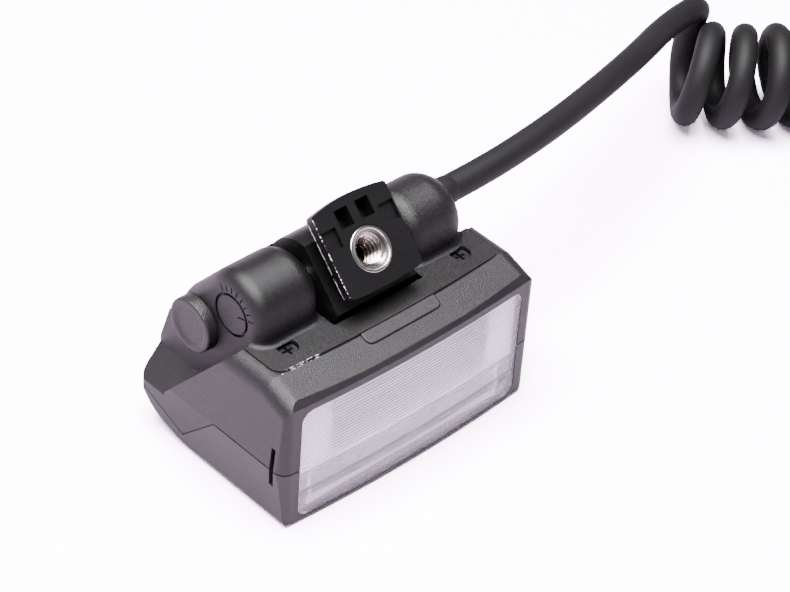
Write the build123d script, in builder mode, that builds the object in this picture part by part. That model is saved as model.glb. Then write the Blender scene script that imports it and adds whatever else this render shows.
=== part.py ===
from build123d import *
from math import acos, atan2, cos, degrees, pi, radians, sin, sqrt, tan
import os

os.makedirs("parts", exist_ok=True)

# Macro flash head on its tilting shoe foot, with a curly cord and plug.
# Frame: X runs along the window, -Y is the way the window faces, +Z is up.
# The head rests on its flat bottom at Z = 0, and X = 0 is its middle plane.

# Housing
wall = 1.8
half_width = 32.6
side_lean_top = 0.7
side_lean_bottom = 1.0
front_y = -20.0
front_bow = 1.0
rear_y = 23.6
front_edge_height = 29.8
box_top = 32.3
box_slope_y = 14.8
box_slope_z = 11.4
parting_height = 13.5
seam_height = 25.8
cheek_inset = 5.8
cheek_x = half_width - cheek_inset
facet_low = 10.6
facet_high = 16.0
plan_round = 2.6
top_round = 3.6
bottom_round = 2.2
front_edge_bevel = 0.8
seam_width = 0.3
seam_depth = 0.5

# Hinge
axis_y = 2.4
axis_z = 35.8
barrel_radius = 8.5
slot_half = 11.4
slot_radius = 12.0
slot_wall = 1.5
rest_tilt = 46.0
axle_radius = 2.0
running_gap = 0.05
fit_gap = 0.05

# Hinge cover
flange_front = -13.0
flange_back = -3.5
flange_inset = 3.9
flange_half = half_width - flange_inset
flange_top = 32.7
flange_seat = 31.5
rear_slope_y = 16.6
rear_slope_z = 32.6
rear_seam_y = 20.2
left_end_round = 3.0
right_end_share = 0.81
inner_end_round = 3.6
screw_inset = 10.4
screw_x = half_width - screw_inset
screw_y = -8.3
screw_head_radius = 2.0
screw_head_height = 1.3
screw_shank_radius = 0.95
screw_length = 5.0
well_radius = 3.1
well_bore = 2.15
well_floor = 28.6
well_seat = 30.5
post_radius = 4.4
post_foot = 24.2

flange_corner = 2.5
flange_foot_round = 1.2
lip_middle = 0.5
lip_length = 19.0
lip_reach = 3.0
lip_rise = 0.4
lip_corner = 1.5
rear_slope_round = 12.0

# Index dial on the left cheek, turning with the foot
dial_radius = 4.0
dial_groove_radius = 4.6
dial_groove_depth = 0.6
dial_thickness = 1.6
tick_count = 8
tick_pitch = 15.0
tick_first = 58.0
tick_inner = 4.9
tick_outer = 6.3
tick_width = 0.3
tick_depth = 0.22

dial_face = 0.5
mark_length = 2.2
mark_width = 0.35
clip_radius = 3.2
clip_thickness = 0.6
tooth_depth = 0.5
tooth_gap = 0.7
cross_length = 2.5
cross_width = 0.55
cross_depth = 0.8

# Shoe foot, measured from its top plate
axis_depth = 11.6
axis_shift = 1.25
plate_width = 18.6
plate_near = 8.6
plate_far = 8.6
plate_bulge_near = 0.5
plate_bulge_far = 1.0
plate_thickness = 2.0
plate_corner = 1.5
neck_width = 12.4
neck_length = 15.6
base_depth = 5.0
base_half = 10.1
base_radius = 11.2
base_thickness = 3.2
base_corner = 2.5
drum_radius = 8.5
insert_v = -1.75
insert_radius = 4.65
insert_length = 7.5
insert_chamfer = 0.6
thread_bore = 2.55
pocket_width = 3.2
pocket_x = 2.6
pocket_near = 3.9
pocket_length = 3.8
pocket_depth = 3.6
notch_x = 7.2
notch_width = 3.6
notch_near = 1.0
notch_length = 4.0
notch_depth = 0.8

# Latch slots and corner columns
latch_y = -16.5
latch_width = 1.1
latch_low = 9.5
latch_high = 19.0
latch_depth = 1.2
latch_lean = 3.0
column_radius = 3.2
front_column_inset = 5.2
front_column_x = half_width - front_column_inset
front_column_y = -4.0
front_column_top = 22.0
rear_column_inset = 10.2
rear_column_x = half_width - rear_column_inset
rear_column_y = 12.6
rear_column_top = 19.8
base_screw_length = 10.0
front_screw_seat = 8.0
rear_screw_seat = 3.4
base_screw_head = 1.9
base_screw_head_height = 1.2

# Optics and electronics
reflector_half = 20.6
reflector_bottom = 11.3
reflector_top = 27.1
reflector_mouth = -18.2
reflector_back = -10.5
reflector_back_half = 2.6
reflector_wall = 0.5
wing_inset = 5.0
wing_half = half_width - wing_inset
wing_thickness = 0.5
tube_radius = 1.6
tube_half = 24.0
tube_y = -12.9
tube_z = 19.2
boot_radius = 2.6
boot_length = 3.4
board_bottom = 12.4
board_thickness = 1.0
board_inset = 8.6
board_half = half_width - board_inset
can_inset = 4.0
board_front = -7.0
board_rear = 9.0
rail_x = 18.0
rail_width = 1.6
board_blocks = [
    (-3.0, 2.0, 9.0, 8.0, 6.5),
    (9.0, 4.0, 7.0, 5.0, 2.0),
    (-16.0, 4.5, 5.0, 5.0, 1.6),
    (8.0, -3.0, 4.0, 3.0, 1.5),
]
board_cans = [(-12.0, -3.5, 2.4, 6.0), (14.5, -3.6, 1.8, 5.0), (can_inset - board_half, -4.0, 1.4, 4.0)]
coil_x = 1.0
coil_y = -4.6
coil_radius = 1.9
coil_length = 8.0
tray_top = 10.8
tray_half = 25.0
tray_front = -17.7
tray_back = -9.0
tray_wall = 0.9
lamp_x = 12.0
lamp_radius = 2.4
lamp_length = 7.0

# Cord, grommet and plug
cord_radius = 2.9
cord_y = 4.6
cord_z = 36.2
grommet_radius = 3.7
grommet_flange_radius = 4.2
grommet_flange = 1.0
grommet_stand = 1.1
grommet_bore = 1.2
wire_radius = 1.15
wire_inset = 8.4
wire_x = cheek_x - wire_inset
curl_radius = 9.2
curl_pitch = 7.9
curl_count = 12
curl_turns = curl_count + 0.25
curl_ease = 0.08
curl_start_x = 125.7
curl_start_y = 25.2
curl_heading = -54.0
curl_bend_radius = 60.0
curl_bend = 56.0
table_gap = 0.1
plug_height = 7.0
plug_boot_length = 16.0
plug_boot_root = 5.0
plug_boot_tip = 3.6
plug_boot_ribs = 5
plug_shell_radius = 6.6
plug_shell_length = 20.0
plug_shell_wall = 1.1
plug_ring = 0.35
plug_mouth = 8.0
boot_groove = 0.7
plug_grips = 24
pin_radius = 0.6
pin_length = 3.2
pin_circle = 3.2
pin_count = 6

# Release button
button_y = 11.7
button_z = 28.2
button_radius = 5.7
button_face = 2.3
button_dish = 0.35
button_travel = 2.2
button_flange_radius = 6.7
button_flange = 1.0
stem_radius = 1.6
guide_x = 16.8
guide_thickness = 1.5
spring_radius = 2.5
spring_wire = 0.25
spring_curls = 4
button_edge = 0.5
button_dish_radius = 4.6
button_gap = 0.1
ratchet_gap = 0.2
ratchet_inset = 3.3
ratchet_x = cheek_x - ratchet_inset
ratchet_thickness = 2.0
ratchet_teeth = 24
pawl_gap = 0.35
right_end_wall = 1.4
opening_front = -5.0
opening_rear = 16.0
opening_inset = 3.3
opening_half = cheek_x - opening_inset
pawl_width = 2.4
pawl_thickness = 2.0
stem_gap = 0.2

# Window
window_inset = 4.1
window_width = 2 * (half_width - window_inset)
window_height = 26.2
window_bottom = 1.3
window_corner = 2.6
window_thickness = 1.5
clear_top = 11.1
clear_ridge = 6.1
rib_pitch = 0.76
rib_depth = 0.35
ridge_depth = 0.5
window_recess = 0.15


def plan_form(inset):
    """Plan outline of the housing, with the bowed front and round corners."""
    side = half_width - inset
    front = front_y + inset
    rear = rear_y - inset
    with BuildSketch() as plan:
        with BuildLine():
            ThreePointArc((-side, front + 0.4), (0, front - front_bow), (side, front + 0.4))
            Line((side, front + 0.4), (side, rear - 1.2))
            ThreePointArc((side, rear - 1.2), (0, rear), (-side, rear - 1.2))
            Line((-side, rear - 1.2), (-side, front + 0.4))
        make_face()
        fillet(plan.vertices(), plan_round - inset / 2)
    with BuildPart() as prism:
        add(plan)
        extrude(amount=60)
    return prism.part


def nose_form(inset):
    """Block whose bowed front has bevelled top and bottom edges."""
    reach = 45.0
    bow_radius = (half_width**2 + (front_bow + 0.4) ** 2) / (2 * (front_bow + 0.4))
    sag = reach**2 / (2 * bow_radius)
    front = front_y - front_bow + inset
    top = front_edge_height - front_edge_bevel - inset
    with BuildPart() as block:
        with BuildSketch(Plane.XY.offset(front_edge_bevel + inset)):
            with BuildLine():
                ThreePointArc((-reach, front + sag), (0, front), (reach, front + sag))
                Polyline((reach, front + sag), (reach, reach), (-reach, reach), (-reach, front + sag))
            make_face()
        extrude(amount=top - front_edge_bevel - inset)
        extrude(block.faces().sort_by(Axis.Z)[-1], amount=8, taper=45)
        extrude(block.faces().sort_by(Axis.Z)[0], amount=front_edge_bevel, taper=45)
    return block.part


def belly_form(inset):
    """Side outline of the whole housing: flat belly, curved tail, back wall."""
    with BuildPart() as belly:
        with BuildSketch(Plane.YZ):
            with BuildLine():
                FilletPolyline(
                    (front_y - 5, 0),
                    (5.0, 0),
                    (18.6, 4.0),
                    (rear_y, 11.0),
                    (rear_y - 0.3, facet_high),
                    (rear_seam_y, seam_height),
                    (rear_seam_y, 60),
                    (front_y - 5, 60),
                    radius=[0, 25, 9, 6, 14, 0, 0, 0],
                    close=True,
                )
            make_face()
            if inset:
                offset(amount=-inset)
        extrude(amount=half_width + 5, both=True)
    return belly.part


def box_form(inset):
    """Front box of the housing, down to the slope behind it."""
    with BuildPart() as box:
        with BuildSketch(Plane.YZ):
            with BuildLine():
                Polyline(
                    (front_y - 5, 0),
                    (front_y - 5, front_edge_height),
                    (front_y, front_edge_height),
                    (flange_front, box_top),
                    (flange_back, box_top),
                    (box_slope_y, box_slope_z),
                    (box_slope_y, 0),
                    close=True,
                )
            make_face()
            if inset:
                offset(amount=-inset, kind=Kind.INTERSECTION)
        extrude(amount=half_width, both=True)
        with BuildSketch(Plane.XZ):
            with BuildLine():
                FilletPolyline(
                    (-(half_width - side_lean_bottom), 0),
                    (-half_width, parting_height),
                    (-(half_width - side_lean_top), box_top + 1),
                    (half_width - side_lean_top, box_top + 1),
                    (half_width, parting_height),
                    (half_width - side_lean_bottom, 0),
                    radius=[bottom_round, 0, 0, 0, 0, bottom_round],
                    close=True,
                )
            make_face()
            if inset:
                offset(amount=-inset)
        extrude(amount=60, both=True, mode=Mode.INTERSECT)
        high = box.edges().filter_by(lambda e: e.center().Z > front_edge_height - inset - 0.1)
        sides = high.filter_by(lambda e: abs(e.center().X) > half_width - side_lean_top - inset - 1)
        fillet(sides.filter_by(lambda e: e.center().Y < 0 and e.length > 2), top_round - inset / 2)
    return box.part


def rear_form(inset):
    """Low rear part of the housing, with the facets beside the cheeks."""
    facet_x = half_width - side_lean_bottom * (1 - facet_low / parting_height)
    with BuildPart() as rear:
        with BuildSketch(Plane.XZ):
            with BuildLine():
                FilletPolyline(
                    (-(half_width - side_lean_bottom), 0),
                    (-facet_x, facet_low),
                    (-cheek_x, facet_high),
                    (cheek_x, facet_high),
                    (facet_x, facet_low),
                    (half_width - side_lean_bottom, 0),
                    radius=[bottom_round, 0, 0, 0, 0, bottom_round],
                    close=True,
                )
            make_face()
            if inset:
                offset(amount=-inset)
        extrude(amount=-rear_y)
    return rear.part


def housing_form(inset):
    """Whole lower housing as one block, moved inward by the inset."""
    box = box_form(inset)
    rear = rear_form(inset)
    belly = belly_form(inset)
    plan = plan_form(inset)
    nose = nose_form(inset)
    with BuildPart() as form:
        with BuildSketch(Plane.YZ):
            with Locations((rear_y / 2, (facet_low + seam_height - inset) / 2)):
                Rectangle(rear_y + 8, seam_height - inset - facet_low)
        extrude(amount=cheek_x - inset, both=True)
        add(box)
        add(rear)
        add(plan, mode=Mode.INTERSECT)
        add(nose, mode=Mode.INTERSECT)
        add(belly, mode=Mode.INTERSECT)
    return form.part


def seam_block(raise_by):
    """Everything under the parting line, which steps down at the rear."""
    low_y = 9.8
    low_z = 3.7
    tail_z = low_z + (rear_y + 6 - low_y) * 0.46
    with BuildPart() as block:
        with BuildSketch(Plane.YZ):
            with BuildLine():
                Polyline(
                    (front_y - 6, -2),
                    (front_y - 6, parting_height + raise_by),
                    (0, parting_height + raise_by),
                    (low_y, low_z + raise_by),
                    (rear_y + 6, tail_z + raise_by),
                    (rear_y + 6, -2),
                    close=True,
                )
            make_face()
        extrude(amount=half_width + 2, both=True)
    return block.part


def hump_prism(inset, from_x, to_x, foot):
    """Cover profile over the barrel, from its vertical front to its rear slope."""
    radius = barrel_radius
    reach_y = rear_slope_y - axis_y
    reach_z = rear_slope_z - axis_z
    reach = sqrt(reach_y**2 + reach_z**2)
    angle = degrees(acos(radius / reach) + atan2(reach_z, reach_y))
    crown = (axis_y + radius * cos(radians(angle)), axis_z + radius * sin(radians(angle)))
    lean = (rear_seam_y - rear_slope_y) / (rear_slope_z - seam_height)
    with BuildPart() as prism:
        with BuildSketch(Plane.YZ.offset(from_x)) as outline:
            with BuildLine():
                Line((axis_y - radius, foot), (axis_y - radius, axis_z))
                CenterArc((axis_y, axis_z), radius, angle, 180 - angle)
                Polyline(
                    crown,
                    (rear_slope_y, rear_slope_z),
                    (rear_seam_y + (seam_height - foot) * lean, foot),
                    (axis_y - radius, foot),
                )
            make_face()
            corner = outline.vertices().sort_by_distance((rear_slope_y, rear_slope_z))[0]
            fillet(corner, rear_slope_round)
            if inset:
                offset(amount=-inset)
        extrude(amount=to_x - from_x)
    return prism.part


def hinge_cylinder(radius, from_x, to_x):
    """Plain cylinder about the hinge axis."""
    with BuildPart() as cylinder:
        with BuildSketch(Plane.YZ.offset(from_x)):
            with Locations((axis_y, axis_z)):
                Circle(radius)
        extrude(amount=to_x - from_x)
    return cylinder.part


def button_cylinder(radius, from_x, to_x):
    """Plain cylinder about the axis of the release button."""
    with BuildPart() as cylinder:
        with BuildSketch(Plane.YZ.offset(from_x)):
            with Locations((button_y, button_z)):
                Circle(radius)
        extrude(amount=to_x - from_x)
    return cylinder.part


def flange_prism(gap, low, high):
    """Outline of the cover's front flange with its bowed front edge."""
    with BuildPart() as prism:
        with BuildSketch(Plane.XY.offset(low)) as outline:
            with BuildLine():
                half = flange_half + gap
                front = flange_front - gap
                ThreePointArc((-half, front), (0, front - front_bow), (half, front))
                Polyline((half, front), (half, flange_back), (-half, flange_back), (-half, front))
            make_face()
            fillet(outline.vertices().sort_by(Axis.Y)[:2], flange_corner)
        extrude(amount=high - low)
    return prism.part


def biarc_edges(points, tangents):
    """Two tangent arcs from each point to the next; used inside a BuildLine."""
    for here, there, leave, arrive in zip(points, points[1:], tangents, tangents[1:]):
        step = there - here
        a = 2 * (leave.dot(arrive) - 1)
        b = -2 * step.dot(leave + arrive)
        c = step.dot(step)
        reach = (-b - sqrt(b * b - 4 * a * c)) / (2 * a)
        meet = ((here + leave * reach) + (there - arrive * reach)) / 2
        across = ((there - arrive * reach) - (here + leave * reach)).normalized()
        TangentArc(here, meet, tangent=leave)
        TangentArc(meet, there, tangent=across)


def least_gap(points, wire, apart):
    """Least clear gap between turns of a wound tube, measured on its points."""
    least = 1e9
    for i, one in enumerate(points):
        for other in points[i + apart :]:
            least = min(least, (other - one).length)
    return least - 2 * wire


outer = housing_form(0)
inner = housing_form(wall)
skin = housing_form(seam_depth)
below = seam_block(0)
seam_high = seam_block(seam_width / 2)
seam_low = seam_block(-seam_width / 2)
flange_pocket = flange_prism(0, flange_seat, flange_seat + 10)
end_x = cheek_x - wall
right_end_round = right_end_share * (rear_slope_z - seam_height)

# Release button: a cap that slides in the left cheek, with a stem and a pawl
button_inner = -cheek_x + wall
stop_x = button_inner + button_flange
slope_turn = atan2(rear_slope_z - seam_height, rear_seam_y - rear_slope_y)
to_hinge = degrees(atan2(axis_z - button_z, axis_y - button_y))
hinge_reach = sqrt((axis_y - button_y) ** 2 + (axis_z - button_z) ** 2)
ratchet_radius = hinge_reach - button_flange_radius - ratchet_gap
pawl_reach = hinge_reach - ratchet_radius - pawl_gap
stem_end = -slot_half - slot_wall - button_travel - stem_gap
with BuildPart() as release_button:
    with BuildSketch(Plane.YZ.offset(-cheek_x - button_face)):
        with Locations((button_y, button_z)):
            Circle(button_radius)
    extrude(amount=button_face + wall)
    rim = release_button.faces().sort_by(Axis.X)[0].edges()
    fillet(rim, button_edge)
    with BuildSketch(Plane.YZ.offset(-cheek_x - button_face)):
        with Locations((button_y, button_z)):
            Circle(button_dish_radius)
    extrude(amount=button_dish, taper=70, mode=Mode.SUBTRACT)
    with BuildSketch(Plane.YZ.offset(button_inner)):
        with Locations((button_y, button_z)):
            Circle(button_flange_radius)
        far_y = button_y + (button_radius + 5) * sin(slope_turn)
        far_z = button_z + (button_radius + 5) * cos(slope_turn)
        with Locations(Location((far_y, far_z), 90 - degrees(slope_turn))):
            Rectangle(10, 30, mode=Mode.SUBTRACT)
    extrude(amount=button_flange)
    with BuildSketch(Plane.YZ.offset(stop_x)):
        with Locations((button_y, button_z)):
            Circle(stem_radius)
    extrude(amount=stem_end - stop_x)
    with BuildSketch(Plane.YZ.offset(stop_x - 0.1)):
        with Locations(Location((button_y, button_z), to_hinge)):
            with Locations((pawl_reach / 2, 0)):
                Rectangle(pawl_reach, pawl_width)
    extrude(amount=pawl_thickness)
with BuildPart() as button_clear:
    with BuildSketch(Plane.YZ.offset(button_inner)):
        with Locations((button_y, button_z)):
            Circle(button_flange_radius + 0.3)
        clear_y = button_y + (button_radius + button_gap + 5) * sin(slope_turn)
        clear_z = button_z + (button_radius + button_gap + 5) * cos(slope_turn)
        with Locations(Location((clear_y, clear_z), 90 - degrees(slope_turn))):
            Rectangle(10, 30, mode=Mode.SUBTRACT)
    extrude(amount=button_flange + button_travel + 0.3)
button_bore = button_cylinder(button_radius + button_gap, -cheek_x - 2, stop_x + button_travel + 0.3)


# Hinge cover: flange, two barrels, and the trough wall round the foot
left_barrel = hump_prism(0, -cheek_x, -slot_half, seam_height)
right_barrel = hump_prism(0, slot_half, cheek_x, seam_height)
middle_half = slot_half + inner_end_round + 0.4
middle_block = hump_prism(0, -middle_half, middle_half, seam_height)
slot_wide = hinge_cylinder(slot_radius, -middle_half, middle_half)
slot_cut = hinge_cylinder(slot_radius, -slot_half, slot_half)
trough_half = slot_half + slot_wall
trough_disc = hinge_cylinder(slot_radius + slot_wall - 0.3, -trough_half, trough_half)
cavity = hump_prism(wall, -end_x, end_x - right_end_wall, seam_height - 8)
envelope = hump_prism(0, -cheek_x, cheek_x, seam_height - 8)
flange = flange_prism(0, flange_seat, flange_top)
flange_deep = flange_prism(0, seam_height - 8, flange_top)
axle_bore = hinge_cylinder(axle_radius + running_gap, -end_x, trough_half + 1)
dial_bore = hinge_cylinder(dial_radius + running_gap, -cheek_x - 1, -end_x + 1)
dial_groove = hinge_cylinder(dial_groove_radius, -cheek_x - 1, -cheek_x + dial_groove_depth)
with BuildPart() as housing_cut:
    add(outer)
    add(flange_pocket, mode=Mode.SUBTRACT)
with BuildPart() as left_end:
    add(left_barrel)
    outside = left_end.faces().sort_by(Axis.X)[0].edges()
    fillet(outside.filter_by(lambda e: e.center().Z > seam_height + 0.1), left_end_round)
    inside = left_end.faces().sort_by(Axis.X)[-1].edges()
    fillet(inside.filter_by(lambda e: e.center().Z > seam_height + 0.1), inner_end_round)
with BuildPart() as right_end:
    add(right_barrel)
    outside = right_end.faces().sort_by(Axis.X)[-1].edges()
    fillet(outside.filter_by(lambda e: e.center().Z > seam_height + 0.1), right_end_round)
    inside = right_end.faces().sort_by(Axis.X)[0].edges()
    fillet(inside.filter_by(lambda e: e.center().Z > seam_height + 0.1), inner_end_round)
with BuildPart() as middle:
    add(middle_block)
    add(slot_wide, mode=Mode.SUBTRACT)
middle_narrow = hump_prism(0, -slot_half, slot_half, seam_height)
with BuildPart() as trough:
    with BuildSketch(Plane.XY.offset(seam_height - 8)):
        with Locations((0, axis_y)):
            Rectangle(2 * trough_half, 2 * slot_radius + 6)
    extrude(amount=8)
    add(left_end)
    add(right_end)
    add(middle_narrow)
    add(flange_deep)
    add(trough_disc, mode=Mode.INTERSECT)
with BuildPart() as guide_plate:
    with BuildSketch(Plane.YZ.offset(-guide_x)):
        with Locations((button_y + 2, seam_height + 4)):
            Rectangle(14, 8)
    extrude(amount=guide_thickness)
    add(envelope, mode=Mode.INTERSECT)
with BuildPart() as hinge_cover:
    add(left_end)
    add(right_end)
    add(middle)
    add(flange)
    level = hinge_cover.edges().filter_by(lambda e: abs(e.center().Z - flange_top) < 0.02)
    barrel_feet = level.filter_by(lambda e: abs(e.center().X) < cheek_x - 0.3)
    barrel_feet = barrel_feet.filter_by(lambda e: flange_front + 5 < e.center().Y < flange_back - 0.5)
    fillet(barrel_feet, flange_foot_round)
    add(housing_cut, mode=Mode.SUBTRACT)
    add(cavity, mode=Mode.SUBTRACT)
    add(guide_plate)
    add(trough)
    add(slot_cut, mode=Mode.SUBTRACT)
    add(axle_bore, mode=Mode.SUBTRACT)
    add(dial_bore, mode=Mode.SUBTRACT)
    add(dial_groove, mode=Mode.SUBTRACT)
    add(button_bore, mode=Mode.SUBTRACT)
    add(button_clear, mode=Mode.SUBTRACT)
    with BuildSketch(Plane.XY.offset(well_floor)):
        with Locations((-screw_x, screw_y), (screw_x, screw_y)):
            Circle(well_radius)
    extrude(amount=flange_top - well_floor)
    with BuildSketch(Plane.XY.offset(flange_top)):
        with Locations((-screw_x, screw_y), (screw_x, screw_y)):
            Circle(well_bore)
    extrude(amount=well_seat - flange_top, mode=Mode.SUBTRACT)
    with BuildSketch(Plane.XY.offset(well_seat)):
        with Locations((-screw_x, screw_y), (screw_x, screw_y)):
            Circle(screw_shank_radius + 0.1)
    extrude(amount=well_floor - well_seat, mode=Mode.SUBTRACT)
    with BuildSketch(Plane.YZ.offset(-guide_x - 1)):
        with Locations((button_y, button_z)):
            Circle(stem_radius + button_gap)
    extrude(amount=guide_thickness + 2, mode=Mode.SUBTRACT)
    with BuildSketch(Plane.YZ.offset(end_x - right_end_wall - 1)):
        with Locations((cord_y, cord_z)):
            Circle(grommet_radius + fit_gap)
    extrude(amount=wall + right_end_wall + 2, mode=Mode.SUBTRACT)
    with BuildSketch(Plane.YZ.offset(-cheek_x - 0.5)):
        for tick in range(tick_count):
            turn = tick_first + tick_pitch * tick
            middle_reach = (tick_inner + tick_outer) / 2
            tick_y = axis_y + middle_reach * cos(radians(turn))
            tick_z = axis_z + middle_reach * sin(radians(turn))
            with Locations(Location((tick_y, tick_z), turn)):
                Rectangle(tick_outer - tick_inner, tick_width)
    extrude(amount=0.5 + tick_depth, mode=Mode.SUBTRACT)
hinge_cover.part.label = "hinge_cover"
export_step(hinge_cover.part, "parts/hinge_cover.step")
release_button.part.label = "release_button"
export_step(release_button.part, "parts/release_button.step")

# Shells: one housing cut in two along the parting line
window_mid_z = window_bottom + window_height / 2
with BuildPart() as window_opening:
    with BuildSketch(Plane.XZ.offset(-front_y - 4)):
        with Locations((0, window_mid_z)):
            RectangleRounded(window_width, window_height, window_corner)
    extrude(amount=10)
column_places = [
    (-front_column_x, front_column_y, front_column_top, front_screw_seat),
    (front_column_x, front_column_y, front_column_top, front_screw_seat),
    (-rear_column_x, rear_column_y, rear_column_top, rear_screw_seat),
    (rear_column_x, rear_column_y, rear_column_top, rear_screw_seat),
]
with BuildPart() as fittings:
    for column_x, column_y, column_top, seat in column_places:
        with BuildSketch():
            with Locations((column_x, column_y)):
                Circle(column_radius)
        extrude(amount=column_top)
    with BuildSketch(Plane.XY.offset(post_foot)):
        with Locations((-screw_x, screw_y), (screw_x, screw_y)):
            Circle(post_radius)
    extrude(amount=box_top - post_foot)
    with BuildSketch():
        with Locations((-rail_x, board_front / 2), (rail_x, board_front / 2)):
            Rectangle(rail_width, -board_front)
    extrude(amount=board_bottom)
    add(outer, mode=Mode.INTERSECT)
with BuildPart() as shell_cuts:
    with BuildSketch(Plane.XY.offset(seam_height - 4)):
        with Locations((0, axis_y)):
            Rectangle(2 * trough_half + 1, 2 * slot_radius + 3.2)
        with Locations((0, (opening_front + opening_rear) / 2)):
            Rectangle(2 * opening_half, opening_rear - opening_front)
    extrude(amount=12)
    with BuildSketch(Plane.XY.offset(well_floor)):
        with Locations((-screw_x, screw_y), (screw_x, screw_y)):
            Circle(well_radius + fit_gap)
    extrude(amount=8)
    with BuildSketch(Plane.XY.offset(well_seat - screw_length)):
        with Locations((-screw_x, screw_y), (screw_x, screw_y)):
            Circle(screw_shank_radius)
    extrude(amount=screw_length)
    add(flange_pocket)
    add(button_bore)
    add(button_clear)
    for side in (-1, 1):
        with BuildSketch(Plane.YZ.offset(side * (half_width - latch_depth))):
            with Locations(Location((latch_y, (latch_low + latch_high) / 2), latch_lean)):
                Rectangle(latch_width, latch_high - latch_low)
        extrude(amount=side * 3)
    for column_x, column_y, column_top, seat in column_places:
        with BuildSketch(Plane.XY.offset(-1)):
            with Locations((column_x, column_y)):
                Circle(base_screw_head + 0.15)
        extrude(amount=seat + 1)
        with BuildSketch(Plane.XY.offset(seat - 1)):
            with Locations((column_x, column_y)):
                Circle(screw_shank_radius)
        extrude(amount=base_screw_length + 1)
    add(window_opening)
with BuildPart() as seam_groove:
    add(outer)
    add(skin, mode=Mode.SUBTRACT)
    add(seam_high, mode=Mode.INTERSECT)
    add(seam_low, mode=Mode.SUBTRACT)
with BuildPart() as housing:
    add(outer)
    add(inner, mode=Mode.SUBTRACT)
    add(fittings)
    add(shell_cuts, mode=Mode.SUBTRACT)
    add(seam_groove, mode=Mode.SUBTRACT)
slope_rise = box_top - front_edge_height
slope_run = flange_front - front_y
slope_length = sqrt(slope_rise**2 + slope_run**2)
slope_normal = (0, -slope_rise, slope_run)
slope_plane = Plane(origin=(0, front_y, front_edge_height), x_dir=(1, 0, 0), z_dir=slope_normal)
with BuildPart() as lip:
    with BuildSketch(slope_plane.offset(-0.5)):
        with Locations((lip_middle, slope_length - lip_reach + lip_corner)):
            RectangleRounded(lip_length, 2 * lip_reach - lip_corner, lip_corner)
    extrude(amount=lip_rise + 0.5)
    fillet(lip.faces().filter_by(GeomType.PLANE).sort_by(Axis.Z)[-1].edges(), 0.9 * lip_rise)
with BuildPart() as upper_shell:
    add(housing)
    add(lip)
    add(below, mode=Mode.SUBTRACT)
    add(flange_pocket, mode=Mode.SUBTRACT)
with BuildPart() as lower_shell:
    add(housing)
    add(below, mode=Mode.INTERSECT)
upper_shell.part.label = "upper_shell"
export_step(upper_shell.part, "parts/upper_shell.step")
lower_shell.part.label = "lower_shell"
export_step(lower_shell.part, "parts/lower_shell.step")

# Shoe foot: plate, neck, base plate and the drum that turns in the trough
tilt = radians(rest_tilt)
foot_y = axis_y - axis_depth * sin(tilt) + axis_shift * cos(tilt)
foot_z = axis_z + axis_depth * cos(tilt) + axis_shift * sin(tilt)
foot_plane = Plane(origin=(0, foot_y, foot_z), x_dir=(1, 0, 0), z_dir=(0, -sin(tilt), cos(tilt)))
drum_solid = hinge_cylinder(drum_radius, -base_half, base_half)
base_disc = hinge_cylinder(base_radius, -base_half, base_half)
axle_hole = hinge_cylinder(axle_radius, -base_half - 1, base_half + 1)
with BuildPart() as base_plate:
    with BuildSketch(foot_plane.offset(-base_depth)) as base_outline:
        with Locations((0, -axis_shift - base_radius / 2)):
            Rectangle(2 * base_half, base_radius + 1)
        fillet(base_outline.vertices().sort_by(Axis.Y)[:2], base_corner)
    extrude(amount=-base_thickness)
    add(base_disc, mode=Mode.INTERSECT)
with BuildPart() as above_base:
    with BuildSketch(foot_plane.offset(-base_depth)):
        Rectangle(60, 60)
    extrude(amount=20)
with BuildPart() as shoe_foot:
    add(drum_solid)
    add(above_base, mode=Mode.SUBTRACT)
    add(base_plate)
    with BuildSketch(foot_plane.offset(-base_depth - 2)):
        Rectangle(neck_width, neck_length)
    extrude(amount=base_depth + 2 - plate_thickness / 2)
    with BuildSketch(foot_plane.offset(-plate_thickness)) as plate:
        with BuildLine():
            half = plate_width / 2
            ThreePointArc((-half, plate_far), (0, plate_far + plate_bulge_far), (half, plate_far))
            Line((half, plate_far), (half, -plate_near))
            ThreePointArc((half, -plate_near), (0, -plate_near - plate_bulge_near), (-half, -plate_near))
            Line((-half, -plate_near), (-half, plate_far))
        make_face()
        fillet(plate.vertices().sort_by(Axis.Y)[:2], plate_corner)
        fillet(plate.vertices().sort_by(Axis.Y)[-2:], plate_corner / 2)
    extrude(amount=plate_thickness)
    add(axle_hole, mode=Mode.SUBTRACT)
    with BuildSketch(foot_plane):
        with Locations((0, insert_v)):
            Circle(insert_radius)
    extrude(amount=-insert_length, mode=Mode.SUBTRACT)
    with BuildSketch(foot_plane):
        with Locations((-pocket_x, pocket_near + pocket_length / 2), (pocket_x, pocket_near + pocket_length / 2)):
            Rectangle(pocket_width, pocket_length)
    extrude(amount=-pocket_depth, mode=Mode.SUBTRACT)
    with BuildSketch(foot_plane):
        with Locations((-notch_x, notch_near + notch_length / 2), (notch_x, notch_near + notch_length / 2)):
            Rectangle(notch_width, notch_length)
    extrude(amount=-notch_depth, mode=Mode.SUBTRACT)
shoe_foot.part.label = "shoe_foot"
export_step(shoe_foot.part, "parts/shoe_foot.step")

# Threaded insert, pressed into the foot
with BuildPart() as threaded_insert:
    with BuildSketch(foot_plane):
        with Locations((0, insert_v)):
            Circle(insert_radius)
            Circle(thread_bore, mode=Mode.SUBTRACT)
    extrude(amount=-insert_length)
    mouth = threaded_insert.edges().filter_by(GeomType.CIRCLE).sort_by(SortBy.RADIUS)[:2]
    chamfer(mouth.sort_by(Axis.Z)[-1], insert_chamfer)
threaded_insert.part.label = "threaded_insert"
export_step(threaded_insert.part, "parts/threaded_insert.step")

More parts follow.
